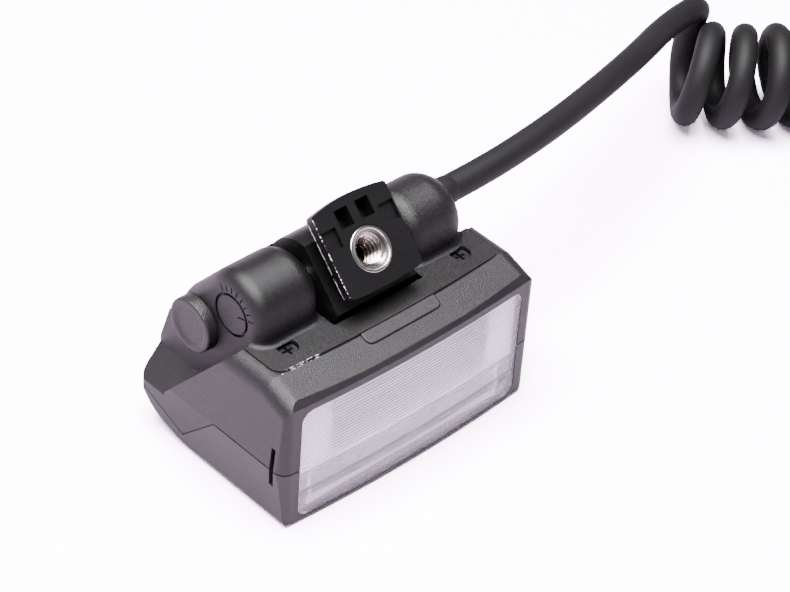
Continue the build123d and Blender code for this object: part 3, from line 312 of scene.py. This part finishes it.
# %% The room round the table
def room(horizon, zenith):
    """Background that fades from a pale horizon to a dimmer ceiling with the height of the ray."""
    world = bpy.data.worlds.new("studio")
    world.use_nodes = True
    tree = world.node_tree
    back = tree.nodes["Background"]
    place = node(tree, "ShaderNodeTexCoord")
    split = node(tree, "ShaderNodeSeparateXYZ")
    fade = node(tree, "ShaderNodeMapRange", interpolation_type="SMOOTHSTEP")
    for label, value in (("From Min", 0.0), ("From Max", 0.55), ("To Min", horizon), ("To Max", zenith)):
        fade.inputs[label].default_value = value
    tree.links.new(place.outputs["Generated"], split.inputs[0])
    tree.links.new(split.outputs["Z"], fade.inputs["Value"])
    tree.links.new(fade.outputs["Result"], back.inputs["Strength"])
    back.inputs["Color"].default_value = (0.97, 0.93, 1.0, 1)
    return world


scene.world = room(horizon=0.5, zenith=0.12)


# %% [markdown]
# ## Moulded grain
#
# Moulded plastic is never quite smooth. The tool is spark-eroded, which leaves a fine, even grain
# of a fifth to a third of a millimetre. The same effect is wanted in several plastics at different
# strengths, so it becomes a node group with its own inputs.
#
# Handling has also worn some edges pale. On the foot's glossy plate the same pale band is also a
# painted highlight along its edges. The second group finds a thin band beside a plane, between two
# ends along the flash, and breaks the band into specks with a noise.

# %% The grain group
def grain_group():
    """Height and shade from two noises: a fine grain, and a slow drift over centimetres."""
    group = bpy.data.node_groups.new("moulded_grain", "ShaderNodeTree")
    ports = group.interface
    for label, value in (("Grain size", 3200.0), ("Drift size", 60.0), ("Drift", 0.1)):
        socket = ports.new_socket(label, in_out="INPUT", socket_type="NodeSocketFloat")
        socket.default_value = value
    for label in ("Base", "Light"):
        ports.new_socket(label, in_out="INPUT", socket_type="NodeSocketColor")
    ports.new_socket("Height", in_out="OUTPUT", socket_type="NodeSocketFloat")
    ports.new_socket("Colour", in_out="OUTPUT", socket_type="NodeSocketColor")
    ports.new_socket("Sheen", in_out="OUTPUT", socket_type="NodeSocketFloat")
    put = node(group, "NodeGroupInput")
    get = node(group, "NodeGroupOutput")
    place = node(group, "ShaderNodeTexCoord")
    fine = node(group, "ShaderNodeTexNoise", detail=2.0, roughness=0.6)
    slow = node(group, "ShaderNodeTexNoise", detail=3.0, roughness=0.5)
    link = group.links.new
    link(place.outputs["Object"], fine.inputs["Vector"])
    link(place.outputs["Object"], slow.inputs["Vector"])
    link(put.outputs["Grain size"], fine.inputs["Scale"])
    link(put.outputs["Drift size"], slow.inputs["Scale"])
    crest = node(group, "ShaderNodeMapRange")
    crest.inputs["From Min"].default_value = 0.35
    crest.inputs["From Max"].default_value = 0.7
    link(fine.outputs["Fac"], crest.inputs["Value"])
    blend = node(group, "ShaderNodeMix", data_type="RGBA")
    share = node(group, "ShaderNodeMath", operation="MULTIPLY")
    link(crest.outputs["Result"], share.inputs[0])
    link(slow.outputs["Fac"], share.inputs[1])
    link(share.outputs[0], blend.inputs["Factor"])
    link(put.outputs["Base"], blend.inputs["A"])
    link(put.outputs["Light"], blend.inputs["B"])
    sheen = node(group, "ShaderNodeMath", operation="MULTIPLY")
    link(slow.outputs["Fac"], sheen.inputs[0])
    link(put.outputs["Drift"], sheen.inputs[1])
    link(crest.outputs["Result"], get.inputs["Height"])
    link(blend.outputs["Result"], get.inputs["Colour"])
    link(sheen.outputs[0], get.inputs["Sheen"])
    return group


GRAIN = grain_group()


# %% The group for worn edges and the painted highlight on the foot
def wear_and_highlight_group():
    """1 where |p . Normal - Offset| < Width, x lies between Low and High, and a noise is high."""
    group = bpy.data.node_groups.new("worn_edge_and_highlight", "ShaderNodeTree")
    ports = group.interface
    ports.new_socket("Normal", in_out="INPUT", socket_type="NodeSocketVector")
    for label in ("Offset", "Width", "Low", "High", "Share"):
        ports.new_socket(label, in_out="INPUT", socket_type="NodeSocketFloat")
    ports.new_socket("Mask", in_out="OUTPUT", socket_type="NodeSocketFloat")
    link = group.links.new
    put = node(group, "NodeGroupInput")
    get = node(group, "NodeGroupOutput")
    place = node(group, "ShaderNodeTexCoord")
    split = node(group, "ShaderNodeSeparateXYZ")
    link(place.outputs["Object"], split.inputs[0])

    def math_node(kind, first, second=None):
        made = node(group, "ShaderNodeMath", operation=kind)
        for index, value in enumerate((first, second)):
            if value is None:
                continue
            if isinstance(value, (int, float)):
                made.inputs[index].default_value = value
            else:
                link(value, made.inputs[index])
        return made.outputs[0]

    dot = node(group, "ShaderNodeVectorMath", operation="DOT_PRODUCT")
    link(place.outputs["Object"], dot.inputs[0])
    link(put.outputs["Normal"], dot.inputs[1])
    away = math_node("ABSOLUTE", math_node("SUBTRACT", dot.outputs["Value"], put.outputs["Offset"]))
    near = math_node("LESS_THAN", away, put.outputs["Width"])
    above = math_node("GREATER_THAN", split.outputs["X"], put.outputs["Low"])
    below = math_node("LESS_THAN", split.outputs["X"], put.outputs["High"])
    specks = node(group, "ShaderNodeTexNoise", scale=1500.0, detail=3.0, roughness=0.7)
    link(place.outputs["Object"], specks.inputs["Vector"])
    rough = math_node("GREATER_THAN", specks.outputs["Fac"], math_node("SUBTRACT", 1.0, put.outputs["Share"]))
    mask = math_node("MULTIPLY", math_node("MULTIPLY", near, rough), math_node("MULTIPLY", above, below))
    link(mask, get.inputs["Mask"])
    return group


WEAR_AND_HIGHLIGHT = wear_and_highlight_group()
WORN_AND_HIGHLIGHT_SHADE = (0.62, 0.59, 0.62, 1)


def wear_and_highlight(material, normal, offset, width, low, high, share):
    """Mixes the pale shade (wear, and on the foot also a painted highlight) over the shader's colour."""
    tree = material.node_tree
    shader = next(n for n in tree.nodes if n.type == "BSDF_PRINCIPLED")
    group = node(tree, "ShaderNodeGroup")
    group.node_tree = WEAR_AND_HIGHLIGHT
    group.inputs["Normal"].default_value = normal
    for label, value in (("Offset", offset), ("Width", width), ("Low", low), ("High", high)):
        group.inputs[label].default_value = value * MM
    group.inputs["Share"].default_value = share
    blend = node(tree, "ShaderNodeMix", data_type="RGBA")
    blend.inputs["B"].default_value = WORN_AND_HIGHLIGHT_SHADE
    tree.links.new(shader.inputs["Base Color"].links[0].from_socket, blend.inputs["A"])
    tree.links.new(group.outputs["Mask"], blend.inputs["Factor"])
    tree.links.new(blend.outputs["Result"], shader.inputs["Base Color"])


print("groups:", [g.name for g in bpy.data.node_groups])


# %% A finish made with the grain
def moulded(name, base, light, rough, grain=3200.0, depth=0.05, drift=0.12, **sockets):
    """Principled plastic: grain drives colour, roughness and bump; the rest are plain sockets."""
    material, tree, out = new_material(name)
    shader = node(tree, "ShaderNodeBsdfPrincipled")
    for key, value in sockets.items():
        shader.inputs[key.replace("_", " ")].default_value = value
    group = node(tree, "ShaderNodeGroup")
    group.node_tree = GRAIN
    group.inputs["Grain size"].default_value = grain
    group.inputs["Drift"].default_value = drift
    group.inputs["Base"].default_value = (*base, 1)
    group.inputs["Light"].default_value = (*light, 1)
    add = node(tree, "ShaderNodeMath", operation="ADD")
    add.inputs[1].default_value = rough - drift / 2
    bump = node(tree, "ShaderNodeBump")
    bump.inputs["Strength"].default_value = depth
    bump.inputs["Distance"].default_value = 0.0002
    link = tree.links.new
    link(group.outputs["Colour"], shader.inputs["Base Color"])
    link(group.outputs["Sheen"], add.inputs[0])
    link(add.outputs[0], shader.inputs["Roughness"])
    link(group.outputs["Height"], bump.inputs["Height"])
    link(bump.outputs["Normal"], shader.inputs["Normal"])
    link(shader.outputs[0], out.inputs["Surface"])
    return material


def dress(material, *names):
    """Puts the material into every slot of these CAD nodes; the mesh itself is not touched."""
    for name in names:
        data = nodes[name].data
        if not data.materials:
            data.materials.append(material)
        for index in range(len(data.materials)):
            data.materials[index] = material


# %% [markdown]
# ## Dark plastics
#
# Several plastics lie side by side and each has its own look: the charcoal housing with a visible
# grain, a blacker hinge cover, a smoother near-black foot, a sandy matt button, and a soft matt
# rubber for the cord. The lower shell is simply coloured slightly paler than the housing. A lower
# specular level keeps the sheen of the housing dim, and that of the rubber dimmer still.

# %% Mix the housing, foot, button and cord finishes
shell = {"grain": 5000, "depth": 0.3, "Specular_IOR_Level": 0.42}
housing = moulded("housing_plastic", (0.006, 0.0050, 0.006), (0.017, 0.0145, 0.017), 0.35, **shell)
cover = moulded("cover_plastic", (0.003, 0.0026, 0.003), (0.008, 0.0070, 0.008), 0.37, **shell)
foot = moulded("foot_plastic", (0.003, 0.0027, 0.003), (0.006, 0.0055, 0.006), 0.34, depth=0.1)
sandy = {"grain": 3000, "depth": 0.35}
button = moulded("button_plastic", (0.008, 0.0075, 0.008), (0.020, 0.018, 0.020), 0.45, **sandy)
matt = {"grain": 4600, "depth": 0.15, "Specular_IOR_Level": 0.28}
rubber = moulded("cord_rubber", (0.004, 0.0037, 0.004), (0.008, 0.0075, 0.008), 0.6, **matt)
under = moulded("base_plastic", (0.012, 0.011, 0.012), (0.022, 0.020, 0.022), 0.38, grain=4600, depth=0.2)
print("finishes mixed:", housing.name, cover.name, foot.name, button.name, rubber.name, under.name)


# %% [markdown]
# The foot's plate is worn along the two edges at its left end, and the pale bands there are also a
# painted highlight on those glossy edges. The seam between the housing and the cover is worn at its
# front left corner. Each band is given by the plane that it lies beside.

# %% Wear the edges, with a painted highlight on the foot's edges
FOOT_OUT = np.array([0.0, -0.7193, 0.6947])
SEAM_BACK = (0.0478, 0.9989, 0)
foot_left_end = (-9.5, -9.1)
seam_left_end = (-28.2, -19.0)
# Worn specks and a painted highlight along the foot plate's two left edges.
wear_and_highlight(foot, FOOT_OUT, 32.75, 0.22, *foot_left_end, 0.56)
wear_and_highlight(foot, FOOT_OUT, 34.75, 0.06, *foot_left_end, 0.45)
for worn in (housing, cover):
    wear_and_highlight(worn, SEAM_BACK, -14.36, 0.16, *seam_left_end, 0.46)
print("edges worn on", foot.name, housing.name, cover.name)


# %% Dress the plastic pieces
dress(housing, "upper_shell")
dress(under, "lower_shell")
dress(cover, "hinge_cover")
dress(foot, "shoe_foot")
dress(button, "release_button")
dress(housing, "index_dial")
dress(rubber, "cord_grommet", "plug_boot")
cord.data.materials.append(rubber)
plug = moulded("plug_plastic", (0.014, 0.013, 0.014), (0.024, 0.022, 0.024), 0.4, depth=0.2)
dress(plug, "plug_shell", "plug_insulator")
wires = moulded("wire_jacket", (0.02, 0.02, 0.02), (0.04, 0.04, 0.04), 0.5, depth=0.1)
dress(wires, "cord_wires")
print("plastics:", [m.name for m in bpy.data.materials])


# %% [markdown]
# ## Metals
#
# Screws, axle and spring are steel, the insert is bright nickel over brass, and the pins of the
# plug are gold. All come from one recipe with other colours: the grain is there a faint brushing.

# %% Dress the metals
def metal(name, base, light, rough, grain=1800.0, depth=0.05):
    """Grain as on plastic, with a full metallic socket."""
    return moulded(name, base, light, rough, grain=grain, depth=depth, drift=0.08, Metallic=1.0)


steel = metal("steel", (0.55, 0.54, 0.54), (0.66, 0.65, 0.64), 0.3)
dark_screw = metal("dark_screw", (0.10, 0.10, 0.11), (0.20, 0.19, 0.20), 0.32)
nickel = metal("insert_nickel", (0.72, 0.68, 0.66), (0.84, 0.80, 0.78), 0.2)
gold = metal("pin_gold", (0.83, 0.62, 0.24), (0.93, 0.74, 0.35), 0.25)
copper = metal("coil_copper", (0.62, 0.28, 0.12), (0.78, 0.40, 0.20), 0.35)
dress(steel, "hinge_axle", "button_spring", "axle_clip", "base_screws")
dress(dark_screw, "cover_screws")
dress(nickel, "threaded_insert")
dress(gold, "plug_pins")
dress(copper, "trigger_coil")
print("metals:", steel.name, dark_screw.name, nickel.name, gold.name, copper.name)


# %% [markdown]
# ## The thread in the foot
#
# The insert is a turned nickel bush with a quarter inch camera thread. A thread is a profile whose
# radius rises and falls along the depth, and slides round with the angle. So we work out one grid:
# rows run round the closed section of the bush, columns run round its axis.

# %% A grid that closes on itself
def ring_mesh(name, grid, material):
    """Rows x columns x 3 points in mm, closed both ways, as a smooth mesh with crisp corners."""
    rows, columns = grid.shape[:2]
    here = np.arange(rows * columns).reshape(rows, columns)
    down = np.roll(here, -1, axis=0)
    faces = np.stack([here, np.roll(here, -1, axis=1), np.roll(down, -1, axis=1), down], axis=-1)
    mesh = bpy.data.meshes.new(name)
    mesh.from_pydata((grid * MM).reshape(-1, 3).tolist(), [], faces.reshape(-1, 4).tolist())
    mesh.polygons.foreach_set("use_smooth", np.ones(len(mesh.polygons), dtype=bool))
    mesh.set_sharp_from_angle(angle=math.radians(40))
    mesh.materials.append(material)
    piece = bpy.data.objects.new(name, mesh)
    scene.collection.objects.link(piece)
    return piece


# %% The threaded bush
FOOT_PLACE = np.array([0.0, -5.08, 44.76])
FOOT_FAR = np.array([0.0, 0.6947, 0.7193])
INSERT_PLACE = FOOT_PLACE - 1.75 * FOOT_FAR
THREAD_CREST, THREAD_ROOT = 2.6, 3.45


def threaded_bush(pitch=1.27, crest=THREAD_CREST, root=THREAD_ROOT, outside=4.65, depth=7.5):
    """r(angle, d) = crest + (root - crest) * wave(angle / 2 pi + d / pitch): a right-hand thread."""
    start, rim = 0.45, 0.4
    d = np.linspace(start, depth, 72)
    body = [(outside, depth), (outside, rim)]
    across = np.linspace(1, -1, 9)
    face = [(outside - rim + rim * a, 0.3 * (1 - math.sqrt(1 - a * a))) for a in across]
    face.append((root, 0.42))
    section = np.array(body + face + [(crest, v) for v in d])
    angle = np.linspace(0, 2 * np.pi, 120, endpoint=False)
    radius = np.repeat(section[:, :1], len(angle), axis=1)
    turn = angle[None, :] / (2 * np.pi) + d[:, None] / pitch
    wave = np.clip(1.25 * np.abs(2 * (turn % 1.0) - 1) - 0.12, 0, 1)
    run_in = np.clip((d - start) / 0.3, 0, 1)[:, None]
    groove = np.where(run_in < 1, 1 - run_in * (1 - wave), wave)
    radius[len(body) + len(face):] += (root - crest) * groove
    u = (radius * np.cos(angle))[..., None] * np.array([1.0, 0, 0])
    v = (radius * np.sin(angle))[..., None] * FOOT_FAR
    return INSERT_PLACE + u + v - section[:, 1][:, None, None] * FOOT_OUT


def paint_thread_shade(material):
    """Painted shade: the base colour turns a dark warm brown as the 'inside' value rises."""
    tree = material.node_tree
    shader = next(n for n in tree.nodes if n.type == "BSDF_PRINCIPLED")
    inside = node(tree, "ShaderNodeAttribute", attribute_name="inside")
    blend = node(tree, "ShaderNodeMix", data_type="RGBA")
    blend.inputs["B"].default_value = (0.16, 0.095, 0.07, 1)
    tree.links.new(shader.inputs["Base Color"].links[0].from_socket, blend.inputs["A"])
    tree.links.new(inside.outputs["Fac"], blend.inputs["Factor"])
    tree.links.new(blend.outputs["Result"], shader.inputs["Base Color"])
    return material


plated = paint_thread_shade(metal("insert_plating", (0.80, 0.76, 0.75), (0.90, 0.87, 0.86), 0.2, depth=0.02))
insert = ring_mesh("insert_with_thread", threaded_bush(), plated)
spots = np.empty(len(insert.data.vertices) * 3)
insert.data.vertices.foreach_get("co", spots)
spots = spots.reshape(-1, 3) / MM - INSERT_PLACE
depths = -spots @ FOOT_OUT
reach = np.linalg.norm(spots + depths[:, None] * FOOT_OUT, axis=1)
groove = np.clip((reach - THREAD_CREST) / (THREAD_ROOT - THREAD_CREST), 0, 1) * (reach < THREAD_ROOT + 0.05)
# Painted shade: darker and browner with the depth into the bush and in the roots of the thread.
shade = insert.data.attributes.new("inside", "FLOAT", "POINT")
shade.data.foreach_set("value", np.clip(0.12 * depths + 0.8 * groove**1.5, 0, 1) * (depths > 0.43))
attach(insert, "foot")
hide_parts("threaded_insert")
print("thread faces:", len(insert.data.polygons))


# %% The strain relief where the cord leaves the hinge
def collar(points, columns=64):
    """A closed profile of (x, radius) points turned about the cord's first stretch."""
    angle = np.linspace(0, 2 * np.pi, columns, endpoint=False)
    x, radius = np.array(points).T
    grid = np.zeros((len(x), columns, 3))
    grid[..., 0] = x[:, None]
    grid[..., 1] = CORD_EXIT[1] + radius[:, None] * np.cos(angle)
    grid[..., 2] = CORD_EXIT[2] + radius[:, None] * np.sin(angle)
    return grid


taper = [(27.7, 2.8), (27.7, 3.4), (28.3, 3.35), (29.6, 3.12), (31.4, 2.97), (31.6, 2.8)]
relief = ring_mesh("strain_relief", collar(taper), rubber)
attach(relief, "head")
print("strain relief faces:", len(relief.data.polygons))


# %% [markdown]
# ## Behind the window
#
# The tube, the bright reflector, its white wings and the small lamp tray are only seen through the
# ribbed window, so their finishes are simple, but each is still its own.

# %% Dress the inside
silver = metal("reflector_silver", (0.93, 0.92, 0.94), (0.98, 0.97, 0.99), 0.35, grain=900)
tray = moulded("tray_white", (0.80, 0.77, 0.83), (0.90, 0.87, 0.92), 0.35)
tube = moulded("tube_glass", (0.86, 0.86, 0.88), (0.92, 0.92, 0.94), 0.12, Transmission_Weight=0.6)
lamp = moulded("lamp_glass", (0.90, 0.90, 0.92), (0.95, 0.95, 0.97), 0.1, Transmission_Weight=0.7)
boot = moulded("boot_rubber", (0.55, 0.53, 0.52), (0.65, 0.63, 0.62), 0.6)
board = moulded("board_green", (0.02, 0.12, 0.05), (0.03, 0.18, 0.08), 0.4)
black = moulded("component_black", (0.02, 0.02, 0.02), (0.04, 0.04, 0.04), 0.45)
dress(silver, "reflector")
dress(tray, "lamp_tray")
dress(tube, "flash_tube")
dress(lamp, "focus_lamps")
dress(boot, "tube_boots")
dress(board, "circuit_board")
dress(black, "board_parts", "ratchet_wheel")
print("inside dressed")


# %% [markdown]
# ## The window
#
# The window is clear plastic. Its ribs scatter the light, so the upper part looks almost white,
# and the lower strip stays clear. One transmission weight serves the whole window: the milky half
# of a rib differs by its rougher surface and whiter tint alone. Light has to reach the parts behind
# it, so shadow rays pass straight through, as they nearly do in thin clear plastic.

# %% The painted highlight lines of the window
def node_max(tree, one, other):
    """The larger of two values."""
    made = node(tree, "ShaderNodeMath", operation="MAXIMUM")
    tree.links.new(one.outputs[0], made.inputs[0])
    tree.links.new(other.outputs[0], made.inputs[1])
    return made


STRIP_TOP, RIB_PITCH = 11.1, 0.76


def edge_highlight_mask(tree, split):
    """1 near the window's two ends, its top and bottom, and the step over the clear strip: painted highlight
    lines.

    Each line is an axis, the middle, the distance from it and the half width, all in mm.
    """
    lines = (("X", 0.0, 28.5, 0.35), ("Z", 14.4, 13.1, 0.35), ("Z", 10.95, 0.0, 0.16))
    found = None
    for axis, centre, half, width in lines:
        away = node(tree, "ShaderNodeMath", operation="SUBTRACT")
        away.inputs[1].default_value = centre * MM
        tree.links.new(split.outputs[axis], away.inputs[0])
        size = node(tree, "ShaderNodeMath", operation="ABSOLUTE")
        tree.links.new(away.outputs[0], size.inputs[0])
        near = node(tree, "ShaderNodeMath", operation="COMPARE")
        near.inputs[1].default_value = half * MM
        near.inputs[2].default_value = width * MM
        tree.links.new(size.outputs[0], near.inputs[0])
        found = near if found is None else node_max(tree, found, near)
    return found


# %% Dress the window
def window_finish():
    """Clear plastic: milky rib halves above the strip, painted highlight lines, plain tint for shadow rays.
    """
    material, tree, out = new_material("window_clear")
    link = tree.links.new
    place = node(tree, "ShaderNodeTexCoord")
    split = node(tree, "ShaderNodeSeparateXYZ")
    link(place.outputs["Object"], split.inputs[0])
    count = node(tree, "ShaderNodeMapRange", clamp=False)
    for label, value in (("From Min", STRIP_TOP * MM), ("From Max", (STRIP_TOP + RIB_PITCH) * MM)):
        count.inputs[label].default_value = value
    link(split.outputs["Z"], count.inputs["Value"])
    part = node(tree, "ShaderNodeMath", operation="FRACT")
    link(count.outputs["Result"], part.inputs[0])
    milky = node(tree, "ShaderNodeMapRange", interpolation_type="SMOOTHSTEP")
    for label, value in (("From Min", 0.35), ("From Max", 0.75)):
        milky.inputs[label].default_value = value
    link(part.outputs[0], milky.inputs["Value"])
    ribbed = node(tree, "ShaderNodeMath", operation="GREATER_THAN")
    ribbed.inputs[1].default_value = 0.0
    link(count.outputs["Result"], ribbed.inputs[0])
    both = node(tree, "ShaderNodeMath", operation="MULTIPLY")
    link(milky.outputs["Result"], both.inputs[0])
    link(ribbed.outputs[0], both.inputs[1])
    # Painted highlight: the window's edges and the step turn whiter and rougher.
    rim = edge_highlight_mask(tree, split)
    both = node_max(tree, both, rim)
    rough = node(tree, "ShaderNodeMapRange")
    for label, value in (("To Min", 0.04), ("To Max", 0.6)):
        rough.inputs[label].default_value = value
    link(both.outputs[0], rough.inputs["Value"])
    tint = node(tree, "ShaderNodeMix", data_type="RGBA")
    tint.inputs["A"].default_value = (0.74, 0.71, 0.76, 1)
    tint.inputs["B"].default_value = (1.0, 0.98, 1.0, 1)
    link(both.outputs[0], tint.inputs["Factor"])
    shader = node(tree, "ShaderNodeBsdfPrincipled")
    shader.inputs["IOR"].default_value = 1.49
    shader.inputs["Transmission Weight"].default_value = 0.87
    link(tint.outputs["Result"], shader.inputs["Base Color"])
    link(rough.outputs["Result"], shader.inputs["Roughness"])
    clear = node(tree, "ShaderNodeBsdfTransparent", color=(0.95, 0.94, 0.97, 1))
    path = node(tree, "ShaderNodeLightPath")
    pick = node(tree, "ShaderNodeMixShader")
    link(path.outputs["Is Shadow Ray"], pick.inputs[0])
    link(shader.outputs[0], pick.inputs[1])
    link(clear.outputs[0], pick.inputs[2])
    link(pick.outputs[0], out.inputs["Surface"])
    return material


dress(window_finish(), "window_lens")
print("window dressed")


# %% Update the scene
bpy.context.view_layer.update()
